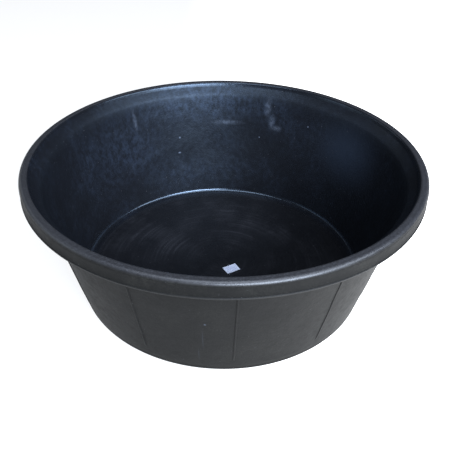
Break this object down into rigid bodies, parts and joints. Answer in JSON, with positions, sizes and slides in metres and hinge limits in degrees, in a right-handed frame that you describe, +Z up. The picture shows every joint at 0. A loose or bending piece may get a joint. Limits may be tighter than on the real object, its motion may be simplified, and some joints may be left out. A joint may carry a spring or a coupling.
{
  "type": "mortar mixing tub",
  "caption": "Round, wide and shallow rubber mixing tub with a flat floor, tapered side, thin upright ribs and a down-turned rim to lift it by.",
  "frame": {"origin": "centre of the base, on the surface that the tub stands on", "axes": "+Z up through the open mouth, -Y towards the side that the reference view shows"},
  "size_m": [0.6599, 0.66, 0.24],
  "materials": {
    "rubber": "moulded, semi-gloss, dusty scuffs",
    "label_paper": "matt coated paper"
  },
  "bodies": {
    "root": {"floor_panel": "rubber", "base_corner": "rubber", "side_wall": "rubber", "wall_ribs": "rubber", "rim_flare": "rubber", "rim_crown": "rubber", "rim_lip": "rubber", "price_label": "label_paper"}
  },
  "joints": []
}
